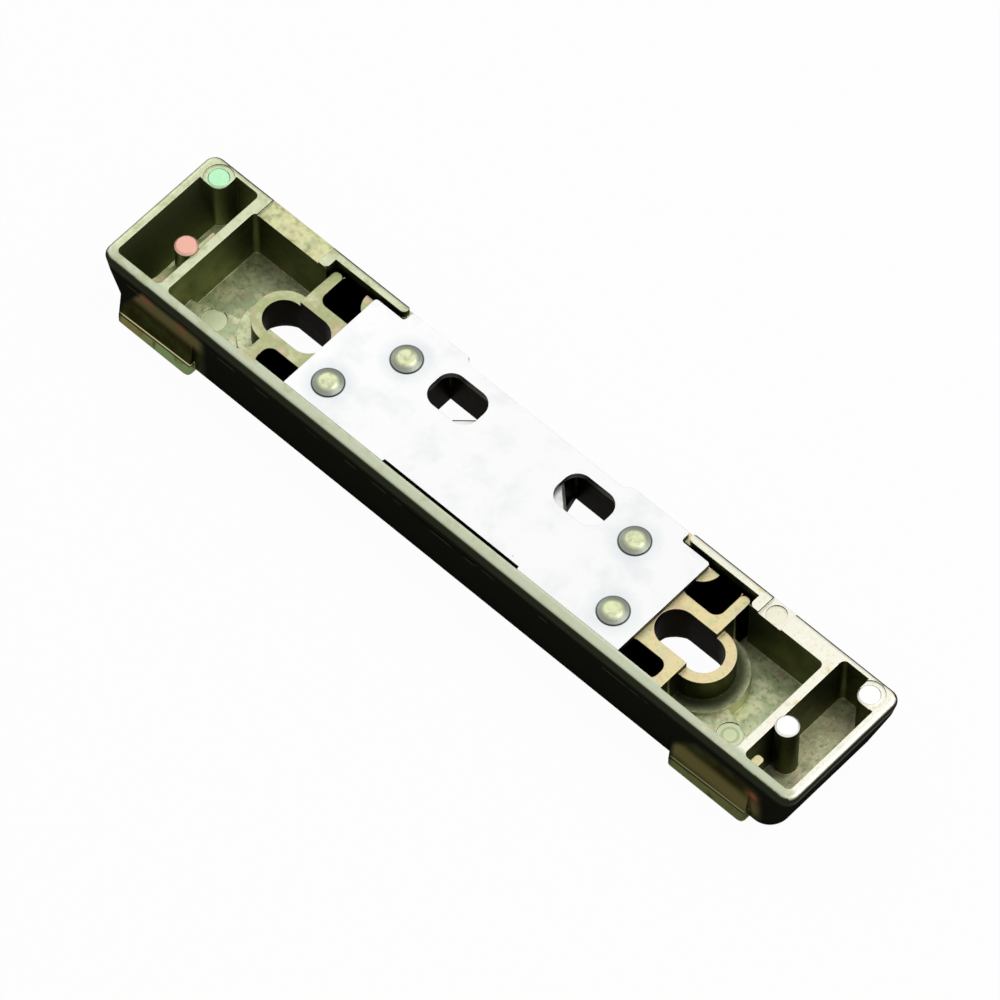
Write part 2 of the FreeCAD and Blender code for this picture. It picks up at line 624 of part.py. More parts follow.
def plate_outline():
    """Outline of the plate, built for one half and mirrored."""
    ramp = MOUTH_NOTCH_HALF + MOUTH_NOTCH_RAMP
    half = [(0, PLATE_REAR_Y + REAR_NOTCH), (REAR_NOTCH_HALF, PLATE_REAR_Y + REAR_NOTCH),
            (REAR_NOTCH_HALF + REAR_NOTCH_RAMP, PLATE_REAR_Y), (PLATE_END, PLATE_REAR_Y), (PLATE_END, WEB_TOP_Y),
            (PLATE_STEP_X, WEB_TOP_Y), (PLATE_STEP_X, PLATE_MOUTH_Y), (ramp, PLATE_MOUTH_Y),
            (MOUTH_NOTCH_HALF, PLATE_MOUTH_Y - MOUTH_NOTCH), (0, PLATE_MOUTH_Y - MOUTH_NOTCH)]
    other = [(-x, y) for x, y in reversed(half[1:-1])]
    return half + other


def back_plate():
    plate = polygon_solid(plate_outline(), DECK_Z, PLATE_TOP)
    corners = [edge for edge in plate.Edges
               if edge.BoundBox.ZLength > PLATE_THICKNESS * 0.9
               and abs(edge.BoundBox.XMin) > MOUTH_NOTCH_HALF - 0.5
               and edge.BoundBox.YMax > WEB_TOP_Y - 0.1]
    plate = plate.makeFillet(PLATE_CORNER, corners)
    windows = [rounded_block(WINDOW_INNER, WINDOW_OUTER, WINDOW_LOW, WINDOW_HIGH,
                             DECK_Z - OVER, PLATE_TOP + OVER, WINDOW_CORNER)]
    stud_holes = [post(x, y, STUD_RADIUS + STUD_GAP, DECK_Z - OVER, PLATE_TOP + OVER)
                  for x, y in stud_places()]
    return plate.cut(both_ends(windows) + stud_holes)


# Claws and their pins

def claw_right():
    """Flat claw with its pivot eye, slanting nose and bent tab for spring and slide."""
    nose_high = (WINDOW_INNER - NOSE_COVER, NOSE_HIGH_Y)
    nose_low = (WINDOW_INNER + NOSE_REACH_X, WINDOW_LOW)
    px, py = CLAW_PIVOT
    outline = [nose_high, nose_low, (nose_low[0] + 0.4, WINDOW_LOW - 1.4), (px - 1.6, WINDOW_LOW - 2.2),
               (px, py + CLAW_EYE_RADIUS), (px - 1.8, py - CLAW_EYE_RADIUS + 0.6),
               (TAB_OUTER, TAB_Y), (TAB_INNER, TAB_Y), (TAB_INNER + 0.7, WINDOW_LOW + 1.0)]
    arm = polygon_solid(outline, CLAW_BOTTOM, CLAW_TOP)
    nose_edges = [edge for edge in arm.Edges
                  if edge.BoundBox.ZMin > CLAW_TOP - 0.01 and edge.BoundBox.YMin > WINDOW_LOW - 0.01
                  and edge.BoundBox.XMax > nose_low[0] - 0.01]
    arm = arm.makeChamfer(NOSE_BEVEL, nose_edges)
    eye = post(px, py, CLAW_EYE_RADIUS, CLAW_BOTTOM, CLAW_TOP)
    tab = block(TAB_INNER, TAB_OUTER, TAB_Y, TAB_FRONT_Y, SLIDE_BOTTOM, CLAW_TOP)
    seat = spigot(CLAW_SPRING_X, TAB_Y, claw_spigot_radius(), -1)
    bore = post(px, py, CLAW_PIN_RADIUS + CLAW_PIN_FIT, CLAW_BOTTOM - OVER, CLAW_TOP + OVER)
    return arm.fuse([eye, tab, seat]).cut(bore).removeSplitter()


def claw_pin_right():
    pin = post(CLAW_PIVOT[0], CLAW_PIVOT[1], CLAW_PIN_RADIUS, BOSS_Z - CLAW_PIN_DEPTH, CLAW_TOP)
    return pin.makeChamfer(0.2, pin.Edges[:1] + pin.Edges[2:])


# Release slide

def release_slide():
    """T-shaped slide: head in the mouth, stem between the shafts, foot behind them."""
    neck_half = WINDOW_INNER - SHAFT_WALL - SLIDE_CLEARANCE
    top = DECK_Z - SLIDE_CLEARANCE
    neck = rounded_block(-neck_half, neck_half, SLIDE_REAR_Y, SLIDE_HEAD_Y, SLIDE_BOTTOM,
                         SLIDE_FOOT_TOP, SLIDE_ROUND)
    foot_bar = rounded_block(-SLIDE_FOOT_HALF, SLIDE_FOOT_HALF, SLIDE_REAR_Y, SLIDE_STOP_Y,
                             SLIDE_BOTTOM, SLIDE_FOOT_TOP, SLIDE_ROUND)
    stem = rounded_block(-SLIDE_STEM_HALF, SLIDE_STEM_HALF, SLIDE_REAR_Y, SLIDE_HEAD_Y, SLIDE_BOTTOM,
                         top, SLIDE_ROUND)
    head = rounded_block(-neck_half, neck_half, WINDOW_HIGH, SLIDE_HEAD_Y, SLIDE_BOTTOM, top,
                         SLIDE_ROUND)
    seat = spigot(0, SLIDE_REAR_Y, slide_spigot_radius(), -1)
    return neck.fuse([foot_bar, stem, head, seat]).removeSplitter()


# Springs

def biarc(start, start_way, end, end_way):
    """Two arcs that leave start along start_way and reach end along end_way."""
    chord = end - start
    both_ways = start_way + end_way
    turn = 2 * (1 - start_way.dot(end_way))
    along = chord.dot(both_ways)
    reach = (-along + math.sqrt(along ** 2 + turn * chord.dot(chord))) / turn
    knee_in = start + start_way * reach
    knee_out = end - end_way * reach
    joint = (knee_in + knee_out) * 0.5
    way = (knee_out - knee_in).normalize()
    edges = []
    for a, a_way, b, b_way in ((start, start_way, joint, way), (joint, way, end, end_way)):
        knee = (knee_in if a is start else knee_out)
        middle_way = (a_way + b_way).normalize()
        inward = ((a + b) * 0.5 - knee).normalize()
        half_angle = math.acos(max(-1.0, min(1.0, a_way.dot(middle_way))))
        half_chord = (b - a).Length / 2
        sagitta = half_chord * math.tan(half_angle / 2)
        edges.append(Part.Arc(a, (a + b) * 0.5 - inward * sagitta, b).toShape())
    return edges


def coil_spring(x, y0, y1, radius, wire, turns):
    """Compression spring along Y: one unbroken round wire on quarter-turn biarcs."""
    first = y0 + wire + SPRING_END_GAP
    last = y1 - wire - SPRING_END_GAP
    quarters = int(round(turns * 4))
    rise = (last - first) / (quarters * math.pi / 2)

    def place(step):
        angle = step * math.pi / 2
        return Vector(x + radius * math.cos(angle), first + rise * angle, SPRING_Z + radius * math.sin(angle))

    def way(step):
        angle = step * math.pi / 2
        return Vector(-radius * math.sin(angle), rise, radius * math.cos(angle)).normalize()

    edges = []
    for step in range(quarters):
        edges += biarc(place(step), way(step), place(step + 1), way(step + 1))
    path = Part.Wire(edges)
    section = Part.Wire(Part.Circle(place(0), way(0), wire).toShape())
    coil = path.makePipeShell([section], True, False)
    gap = rise * 2 * math.pi * math.cos(math.atan2(rise, radius)) - 2 * wire
    print("spring at x", x, "gap between turns", round(gap, 3), "mm")
    return coil


def claw_spring_right():
    return coil_spring(CLAW_SPRING_X, REAR_INNER_CENTRE, TAB_Y, CLAW_SPRING_RADIUS, CLAW_SPRING_WIRE,
                       CLAW_SPRING_TURNS)


def slide_spring():
    return coil_spring(0, REAR_INNER_CENTRE, SLIDE_REAR_Y, SLIDE_SPRING_RADIUS, SLIDE_SPRING_WIRE,
                       SLIDE_SPRING_TURNS)


# Files, one for each piece

def save(shape, name):
    """Write one piece, with the origin under the middle of the outer box."""
    placed = shape.copy()
    placed.translate(ORIGIN_SHIFT)
    placed.exportStep("parts/" + name + ".step")
    print(name, "solids", len(placed.Solids), "volume", round(placed.Volume, 2), "valid", placed.isValid())


os.makedirs("parts", exist_ok=True)
save(housing_casting(), "housing_casting")
save(back_plate(), "back_plate")
save(release_slide(), "release_slide")
save(slide_spring(), "slide_spring")
for piece, name in ((claw_right(), "claw"), (claw_pin_right(), "claw_pin"),
                    (claw_spring_right(), "claw_spring")):
    save(piece, name + "_right")
    save(mirrored(piece), name + "_left")
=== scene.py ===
import math

import bpy
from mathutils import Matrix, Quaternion, Vector


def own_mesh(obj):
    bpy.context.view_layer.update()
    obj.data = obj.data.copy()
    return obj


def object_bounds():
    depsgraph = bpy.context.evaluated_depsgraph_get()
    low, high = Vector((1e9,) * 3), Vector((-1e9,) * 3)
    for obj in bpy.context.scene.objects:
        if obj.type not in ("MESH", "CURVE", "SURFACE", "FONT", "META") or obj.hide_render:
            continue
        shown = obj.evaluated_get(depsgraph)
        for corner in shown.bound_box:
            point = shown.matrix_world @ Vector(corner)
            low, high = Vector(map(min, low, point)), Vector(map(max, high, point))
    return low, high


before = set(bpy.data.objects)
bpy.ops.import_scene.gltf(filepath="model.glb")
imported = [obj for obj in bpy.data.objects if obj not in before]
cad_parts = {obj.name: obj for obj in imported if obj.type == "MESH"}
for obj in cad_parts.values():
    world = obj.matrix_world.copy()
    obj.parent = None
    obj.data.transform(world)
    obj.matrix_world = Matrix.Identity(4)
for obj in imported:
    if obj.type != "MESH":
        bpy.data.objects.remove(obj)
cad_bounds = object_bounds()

MM = 0.001


# Camera: a long lens that looks down on the open back from the rear right, as the photo does.
# Its place is given by the point at rim height that it looks at and the angles seen from there.

RIM_HEIGHT = 11.6 * MM
LOOK_AT = Vector((3.451 * MM, -2.234 * MM, RIM_HEIGHT))
CAMERA_DISTANCE = 1175.4 * MM
CAMERA_AZIMUTH = math.radians(42.918)
CAMERA_ELEVATION = math.radians(58.950)
CAMERA_ROLL = math.radians(-0.113)
CAMERA_LENS = 323.5
SENSOR_WIDTH = 36.0

camera_data = bpy.data.cameras.new("camera")
camera_data.lens = CAMERA_LENS
camera_data.sensor_width = SENSOR_WIDTH
camera = bpy.data.objects.new("camera", camera_data)
bpy.context.scene.collection.objects.link(camera)
away = Vector((math.sin(CAMERA_AZIMUTH) * math.cos(CAMERA_ELEVATION),
               -math.cos(CAMERA_AZIMUTH) * math.cos(CAMERA_ELEVATION),
               math.sin(CAMERA_ELEVATION)))
camera.location = LOOK_AT + away * CAMERA_DISTANCE
camera.rotation_mode = "QUATERNION"
camera.rotation_quaternion = Quaternion(-away, CAMERA_ROLL) @ (-away).to_track_quat("-Z", "Y")
bpy.context.scene.camera = camera
bpy.context.scene.view_settings.view_transform = "Standard"


# Studio: a white floor that keeps the object's soft shadow, one wide soft lamp overhead, a
# weaker one from the left, and an even world that fills the shadows.

FLOOR_SIZE = 3.0
FLOOR_DROP = 0.05 * MM
FLOOR_WHITE = (0.9, 0.9, 0.9, 1.0)
FLOOR_GLOW = 0.97
WORLD_FILL = 0.32


def new_node(kind, tree, **settings):
    """New shader node with its plain inputs and properties set."""
    node = tree.nodes.new(kind)
    for name, value in settings.items():
        if name in node.inputs:
            node.inputs[name].default_value = value
        else:
            setattr(node, name, value)
    return node


def join(tree, source, target):
    """Links one socket to another."""
    tree.links.new(source, target)


def value_of(tree, operation, first, second=None, third=None):
    """Result of one arithmetic step on sockets or numbers."""
    node = new_node("ShaderNodeMath", tree, operation=operation)
    for index, part in enumerate((first, second, third)):
        if part is None:
            continue
        if isinstance(part, (int, float)):
            node.inputs[index].default_value = part
        else:
            join(tree, part, node.inputs[index])
    return node.outputs[0]


def seen_directly(tree, share):
    """Share for rays that show the background, and none for those that light the object."""
    path = new_node("ShaderNodeLightPath", tree)
    shown = value_of(tree, "MAXIMUM", path.outputs["Is Camera Ray"],
                     path.outputs["Is Glossy Ray"])
    shown = value_of(tree, "MAXIMUM", shown, path.outputs["Is Transmission Ray"])
    return value_of(tree, "MULTIPLY", shown, share)


floor_material = bpy.data.materials.new("white_floor")
floor_material.use_nodes = True
tree = floor_material.node_tree
tree.nodes.clear()
floor_out = new_node("ShaderNodeOutputMaterial", tree)
floor_mix = new_node("ShaderNodeMixShader", tree)
floor_diffuse = new_node("ShaderNodeBsdfDiffuse", tree, Color=FLOOR_WHITE)
floor_glow = new_node("ShaderNodeEmission", tree, Strength=1.0)
join(tree, seen_directly(tree, FLOOR_GLOW), floor_mix.inputs[0])
join(tree, floor_diffuse.outputs[0], floor_mix.inputs[1])
join(tree, floor_glow.outputs[0], floor_mix.inputs[2])
join(tree, floor_mix.outputs[0], floor_out.inputs["Surface"])

floor_mesh = bpy.data.meshes.new("floor")
half = FLOOR_SIZE / 2
floor_mesh.from_pydata([(-half, -half, 0), (half, -half, 0), (half, half, 0), (-half, half, 0)],
                       [], [(0, 1, 2, 3)])
floor = bpy.data.objects.new("floor", floor_mesh)
bpy.context.scene.collection.objects.link(floor)
floor.location.z = cad_bounds[0][2] - FLOOR_DROP
floor.data.materials.append(floor_material)

world = bpy.data.worlds.new("studio")
world.use_nodes = True
tree = world.node_tree
background = tree.nodes["Background"]
background.inputs["Color"].default_value = (1, 1, 1, 1)
world_strength = value_of(tree, "MAXIMUM", seen_directly(tree, 1.0), WORLD_FILL)
join(tree, world_strength, background.inputs["Strength"])
bpy.context.scene.world = world


def soft_lamp(name, place, size, watts):
    """Square soft lamp that faces the object."""
    data = bpy.data.lights.new(name, "AREA")
    data.size = size
    data.energy = watts
    lamp = bpy.data.objects.new(name, data)
    bpy.context.scene.collection.objects.link(lamp)
    lamp.location = place
    lamp.rotation_mode = "QUATERNION"
    lamp.rotation_quaternion = (-Vector(place)).to_track_quat("-Z", "Y")


soft_lamp("overhead_softbox", (0.35, 0.30, 0.75), size=0.55, watts=2.6)
soft_lamp("left_softbox", (-0.55, 0.20, 0.45), size=0.4, watts=0.6)


# Housing casting: zinc die casting with a thin iridescent yellow passivation. Its top edges are
# pale olive gold and the floors duller; the walls carry painted shade, the deep walls are nearly
# black, and the drafted outside is painted nearly black as shade.

HALF_LENGTH = 61.9 * MM
REAR_SIDE = -10.375 * MM
MIDDLE_Y = 0.625 * MM
DECK_HEIGHT = RIM_HEIGHT - 1.3 * MM
PARTING_HEIGHT = RIM_HEIGHT - 3.1 * MM

# Screw slot, its ring and the raised floor round it; the same on both ends.
SLOT_START = 32.95 * MM
SLOT_END = 37.65 * MM
SLOT_Y = -0.245 * MM
SLOT_RADIUS = 2.925 * MM
RING_RADIUS = 4.7 * MM
PLATEAU_RADIUS = 6.4 * MM
WEB_END = 37.4 * MM

# Spreads over which one colour changes to the next: (where it starts, where it is full).
RIGHTWARD_ON_WEBS = (-30 * MM, 30 * MM)
RIGHTWARD_ON_RIM = (-62 * MM, 62 * MM)
RIGHT_HALF = (-5 * MM, 5 * MM)
LEFT_HALF = (10 * MM, -10 * MM)
LEFT_END = (-51.8 * MM, -52.2 * MM)
RIGHT_END = (51 * MM, 53 * MM)
DULL_RIM = (45 * MM, -20 * MM)
REAR_RIM = (REAR_SIDE + 2.4 * MM, REAR_SIDE + 1.4 * MM)
ABOVE_FLOORS = (RIM_HEIGHT - 6.0 * MM, RIM_HEIGHT - 3.2 * MM)
ABOVE_WEBS = (RIM_HEIGHT - 0.9 * MM, RIM_HEIGHT - 0.5 * MM)
ROUND_RING = (RING_RADIUS + 2.8 * MM, RING_RADIUS + 0.2 * MM)
UNDER_DECK = (DECK_HEIGHT - 0.15 * MM, DECK_HEIGHT - 0.40 * MM)
INSIDE_WEBS = (WEB_END + 0.05 * MM, WEB_END - 0.05 * MM)
IN_SLOT = (SLOT_RADIUS + 0.12 * MM, SLOT_RADIUS + 0.04 * MM)
IN_HEAD_RECESS = (5.6 * MM, 5.2 * MM)
UNDER_MIDDLE_FLOOR = (3.6 * MM, 3.4 * MM)
AT_FRONT_FACE = (0.3 * MM, 0.1 * MM)

# Shares of a face's upward turn: (where it starts, where it is full).
FACING_UP = (0.35, 0.85)
FACING_DOWN = (-0.6, -0.9)
STEEP_IN_SLOT = (0.7, 0.4)
STEEP_SIDE = (0.985, 0.75)
STEEP_END = (0.88, 0.55)

ROSE = (0.62, 0.42, 0.33, 1)
LEAF_GREEN = (0.36, 0.50, 0.27, 1)
EDGE_TINT = (0.5, 0.5, 0.5, 1)
RIM_LEFT = (0.54, 0.58, 0.39, 1)
RIM_RIGHT = (0.78, 0.76, 0.65, 1)
RIM_REAR = (0.45, 0.49, 0.36, 1)
RIM_DULL = (0.36, 0.375, 0.21, 1)
WALL_SHADE_OLIVE = (0.120, 0.130, 0.055, 1)
WALL_SHADE_DARK = (0.085, 0.092, 0.036, 1)
END_WALL_SHADE = (0.20, 0.225, 0.10, 1)
RING_SHADE = (0.055, 0.06, 0.03, 1)
INSIDE_BLACK = (0.007, 0.006, 0.004, 1)
OUTSIDE_SHADE_BLACK = (0.0115, 0.0120, 0.0080, 1)
UNDER_RIM_HIGHLIGHT = (0.018, 0.021, 0.010, 1)
PARTING_LINE_HIGHLIGHT = (0.11, 0.115, 0.065, 1)
FRONT_BLACK = (0.012, 0.012, 0.009, 1)

# Patches lie one over another: (size, noise level at which each starts, where full, colour).
WEB_LEFT = (0.37, 0.39, 0.20, 1)
WEB_RIGHT = (0.67, 0.58, 0.32, 1)
WEB_PALE = (0.58, 0.57, 0.37, 1)
WEB_PATCHES = ((2.6 * MM, 0.45, 0.75, WEB_PALE), (1.9 * MM, 0.50, 0.80, ROSE),
               (1.3 * MM, 0.52, 0.85, LEAF_GREEN))
FLOOR_PALE = (0.64, 0.66, 0.41, 1)
FLOOR_OLIVE = (0.42, 0.48, 0.28, 1)
FLOOR_DULL = (0.22, 0.24, 0.14, 1)
FLOOR_PATCHES = ((2.4 * MM, 0.38, 0.58, FLOOR_PALE), (2.2 * MM, 0.54, 0.85, ROSE),
                 (1.2 * MM, 0.52, 0.82, LEAF_GREEN), (0.7 * MM, 0.45, 0.85, FLOOR_DULL))
END_WARMTH = 0.45
LABEL_MIDDLE = -45.0 * MM
LABEL_HALF = 5.1 * MM
LABEL_FADE = 0.7 * MM
LABEL_SIDE = (7.8 * MM, 8.2 * MM)
LABEL_GOLD = (0.60, 0.59, 0.34, 1)
LABEL_SHADE = (0.22, 0.23, 0.09, 1)
LABEL_PATCHES = ((1.3 * MM, 0.35, 0.80, LABEL_SHADE), (2.4 * MM, 0.50, 0.95, ROSE),
                 (1.7 * MM, 0.50, 0.90, LEAF_GREEN))

# Peened studs, locating pins and the round ejector marks, each as (reach from the middle, Y).
STUD_PLACES = ((20.45 * MM, 5.325 * MM), (25.55 * MM, -4.375 * MM))
STUD_CENTRE = (0.66, 0.69, 0.42, 1)
STUD_RING = (0.25, 0.27, 0.225, 1)
STUD_EDGE_SHADOW = (0.05, 0.05, 0.045, 1)
STUD_EDGE_SHADOW_RADIUS = 2.4 * MM
STUD_RING_RADIUS = 2.12 * MM
STUD_CENTRE_RADIUS = 1.35 * MM
STUD_TOP = (RIM_HEIGHT - 0.35 * MM, RIM_HEIGHT - 0.25 * MM)
TALL_PIN_PLACE = (53.85 * MM, -1.975 * MM)
CORNER_PIN_PLACE = (58.35 * MM, 8.925 * MM)
PIN_RADIUS = 1.7 * MM
PIN_TOP = (RIM_HEIGHT - 0.25 * MM, RIM_HEIGHT - 0.15 * MM)
PIN_WHITE = (0.90, 0.90, 0.86, 1)
PIN_ROSE = (0.70, 0.38, 0.30, 1)
PIN_GREEN = (0.42, 0.72, 0.46, 1)
MARK_PLACE = (46.5 * MM, -4.625 * MM)
MARK_RADIUS = 1.85 * MM
MARK_GROOVE = (0.9 * MM, 1.25 * MM)
MARK_PALE = (0.60, 0.66, 0.42, 1)


def new_finish(name, metallic, roughness):
    """Material with its tree and its main shader, roughness and metal set on the shader."""
    material = bpy.data.materials.new(name)
    material.use_nodes = True
    shader = material.node_tree.nodes["Principled BSDF"]
    shader.inputs["Metallic"].default_value = metallic
    shader.inputs["Roughness"].default_value = roughness
    shader.inputs["Specular Tint"].default_value = EDGE_TINT
    return material, material.node_tree, shader


def ramp_between(tree, value, low, high):
    """0 below low, 1 above high and an even change between them."""
    node = new_node("ShaderNodeMapRange", tree, interpolation_type="SMOOTHSTEP")
    join(tree, value, node.inputs["Value"])
    node.inputs["From Min"].default_value = low
    node.inputs["From Max"].default_value = high
    return node.outputs["Result"]


def band(tree, value, centre, half_width, soft):
    """1 near centre and 0 away from it."""
    off = value_of(tree, "ABSOLUTE", value_of(tree, "SUBTRACT", value, centre))
    return ramp_between(tree, off, half_width + soft, half_width)


def both(tree, *shares):
    """Product of several shares."""
    product = shares[0]
    for share in shares[1:]:
        product = value_of(tree, "MULTIPLY", product, share)
    return product


def apart_from(tree, share):
    """1 where share is 0, and 0 where it is 1."""
    return value_of(tree, "SUBTRACT", 1.0, share)


def within(tree, flat, centre, radius, soft):
    """1 inside a circle round centre and 0 outside it."""
    node = new_node("ShaderNodeVectorMath", tree, operation="DISTANCE")
    join(tree, flat, node.inputs[0])
    node.inputs[1].default_value = (centre[0], centre[1], 0)
    return apart_from(tree, ramp_between(tree, node.outputs["Value"],
                                         radius - soft, radius + soft))


def flattened(tree, first, second):
    """Two measures as one flat place, for circles drawn on a face."""
    node = new_node("ShaderNodeCombineXYZ", tree)
    join(tree, first, node.inputs[0])
    join(tree, second, node.inputs[1])
    return node.outputs[0]


def blend_colour(tree, share, under, over):
    """Colour that goes from under to over as share goes from 0 to 1."""
    node = new_node("ShaderNodeMix", tree, data_type="RGBA")
    join(tree, share, node.inputs["Factor"])
    for socket, part in ((node.inputs[6], under), (node.inputs[7], over)):
        if isinstance(part, tuple):
            socket.default_value = part
        else:
            join(tree, part, socket)
    return node.outputs[2]


def cloud(tree, place, size, detail=3.0, roughness=0.55):
    """Soft noise with patches of about the given size."""
    node = new_node("ShaderNodeTexNoise", tree, Scale=1.0 / size, Detail=detail,
                    Roughness=roughness)
    join(tree, place, node.inputs["Vector"])
    return node.outputs["Fac"]


def clouded(tree, place, size, low, high):
    """Share that is 1 in patches of noise and 0 between them."""
    return ramp_between(tree, cloud(tree, place, size), low, high)


def patched(tree, place, colour, patches):
    """Colour with patches of others over it."""
    for size, low, high, over in patches:
        colour = blend_colour(tree, clouded(tree, place, size, low, high), colour, over)
    return colour


def place_sockets(tree):
    """The point on the piece, its three measures, and how far the face turns upwards."""
    coordinates = new_node("ShaderNodeTexCoord", tree)
    place = coordinates.outputs["Object"]
    split = new_node("ShaderNodeSeparateXYZ", tree)
    join(tree, place, split.inputs[0])
    facing = new_node("ShaderNodeSeparateXYZ", tree)
    join(tree, coordinates.outputs["Normal"], facing.inputs[0])
    return place, split.outputs, facing.outputs["Z"]


def add_grain(tree, shader, place, edge_round, grains):
    """Softened edges and a fine grain; grains lists (size, height)."""
    bevel = new_node("ShaderNodeBevel", tree, Radius=edge_round)
    bevel.samples = 4
    normal = bevel.outputs["Normal"]
    for size, height in grains:
        bump = new_node("ShaderNodeBump", tree, Strength=1.0, Distance=height)
        join(tree, cloud(tree, place, size, detail=4.0), bump.inputs["Height"])
        join(tree, normal, bump.inputs["Normal"])
        normal = bump.outputs["Normal"]
    join(tree, normal, shader.inputs["Normal"])


def dress(node_name, material):
    """Gives a CAD node its finish."""
    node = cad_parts[node_name]
    if not node.material_slots:
        node.data.materials.append(material)
    for slot in node.material_slots:
        slot.material = material


def slot_distance(tree, reach, across):
    """Distance from the middle line of the screw slot."""
    nearest = value_of(tree, "MAXIMUM", reach, SLOT_START)
    nearest = value_of(tree, "MINIMUM", nearest, SLOT_END)
    beside = value_of(tree, "SUBTRACT", reach, nearest)
    over = value_of(tree, "SUBTRACT", across, SLOT_Y)
    squares = value_of(tree, "ADD", both(tree, beside, beside), both(tree, over, over))
    return value_of(tree, "SQRT", squares)


def floor_colours(tree, place, along, from_slot):
    """Floors: mottled olive, warmer in the right end, a painted shadow round the right ring and
    a painted highlight at the plateau's foot.
    """
    colour = patched(tree, place, FLOOR_OLIVE, FLOOR_PATCHES)
    at_end = value_of(tree, "MULTIPLY", ramp_between(tree, along, *RIGHT_END), END_WARMTH)
    warm = both(tree, at_end, clouded(tree, place, 2.3 * MM, 0.35, 0.75))
    colour = blend_colour(tree, warm, colour, ROSE)
    # Painted shadow on the floor round the right ring.
    ring_shadow = both(tree, ramp_between(tree, from_slot, *ROUND_RING),
                      ramp_between(tree, along, *RIGHT_HALF))
    colour = blend_colour(tree, ring_shadow, colour, RING_SHADE)
    # Painted highlight: a thin lit line at the foot of the raised floor round the slot.
    plateau_foot = band(tree, from_slot, PLATEAU_RADIUS + 0.12 * MM, 0.06 * MM, 0.06 * MM)
    plateau_foot_highlight = both(tree, plateau_foot, clouded(tree, place, 3 * MM, 0.40, 0.60))
    return blend_colour(tree, plateau_foot_highlight, colour, WEB_PALE)


def top_colour(tree, place, along, across, height, from_slot):
    """Colour of faces that look up: pale rim, mottled webs, duller floors."""
    web = blend_colour(tree, ramp_between(tree, along, *RIGHTWARD_ON_WEBS), WEB_LEFT, WEB_RIGHT)
    web = patched(tree, place, web, WEB_PATCHES)

    rim = blend_colour(tree, ramp_between(tree, along, *RIGHTWARD_ON_RIM), RIM_LEFT, RIM_RIGHT)
    rim = blend_colour(tree, ramp_between(tree, across, *REAR_RIM), rim, RIM_REAR)
    dull = both(tree, clouded(tree, place, 1.8 * MM, 0.45, 0.80),
                ramp_between(tree, along, *DULL_RIM))
    rim = blend_colour(tree, dull, rim, RIM_DULL)
    rim = patched(tree, place, rim, ((3.1 * MM, 0.58, 0.74, web),))
    in_label = both(tree, ramp_between(tree, across, *LABEL_SIDE),
                    band(tree, along, LABEL_MIDDLE, LABEL_HALF, LABEL_FADE))
    rim = blend_colour(tree, in_label, rim, patched(tree, place, LABEL_GOLD, LABEL_PATCHES))

    grime = ramp_between(tree, cloud(tree, place, 0.55 * MM, detail=5.0, roughness=0.7),
                         0.50, 0.95)
    rim = blend_colour(tree, grime, rim, RIM_DULL)
    web = blend_colour(tree, grime, web, LABEL_SHADE)
    colour = blend_colour(tree, ramp_between(tree, height, *ABOVE_FLOORS),
                          floor_colours(tree, place, along, from_slot), web)
    return blend_colour(tree, ramp_between(tree, height, *ABOVE_WEBS), colour, rim)


def stud_and_pin_colour(tree, place, along, height, upward, flat, colour):
    """Peened studs with a painted shadow line round the head, a grey ring round a yellow middle,
    and the stained pin tops.
    """
    raised = ramp_between(tree, height, *STUD_TOP)
    centre_colour = patched(tree, place, STUD_CENTRE, ((0.9 * MM, 0.40, 0.90, STUD_RING),))
    # Painted shadow: a dark line round each stud head's edge.
    stud_discs = ((STUD_EDGE_SHADOW_RADIUS, 0.06 * MM, STUD_EDGE_SHADOW),
                  (STUD_RING_RADIUS, 0.06 * MM, STUD_RING),
                  (STUD_CENTRE_RADIUS, 0.35 * MM, centre_colour))
    for centre in STUD_PLACES:
        for radius, soft, part in stud_discs:
            disc = both(tree, within(tree, flat, centre, radius, soft), raised)
            colour = blend_colour(tree, disc, colour, part)
    pin_top = ramp_between(tree, height, *PIN_TOP)
    on_left = ramp_between(tree, along, *LEFT_HALF)
    for centre, left_part in ((TALL_PIN_PLACE, PIN_ROSE), (CORNER_PIN_PLACE, PIN_GREEN)):
        disc = both(tree, within(tree, flat, centre, PIN_RADIUS, 0.05 * MM), pin_top, upward)
        stain = blend_colour(tree, on_left, PIN_WHITE, left_part)
        colour = blend_colour(tree, disc, colour, stain)
    return colour


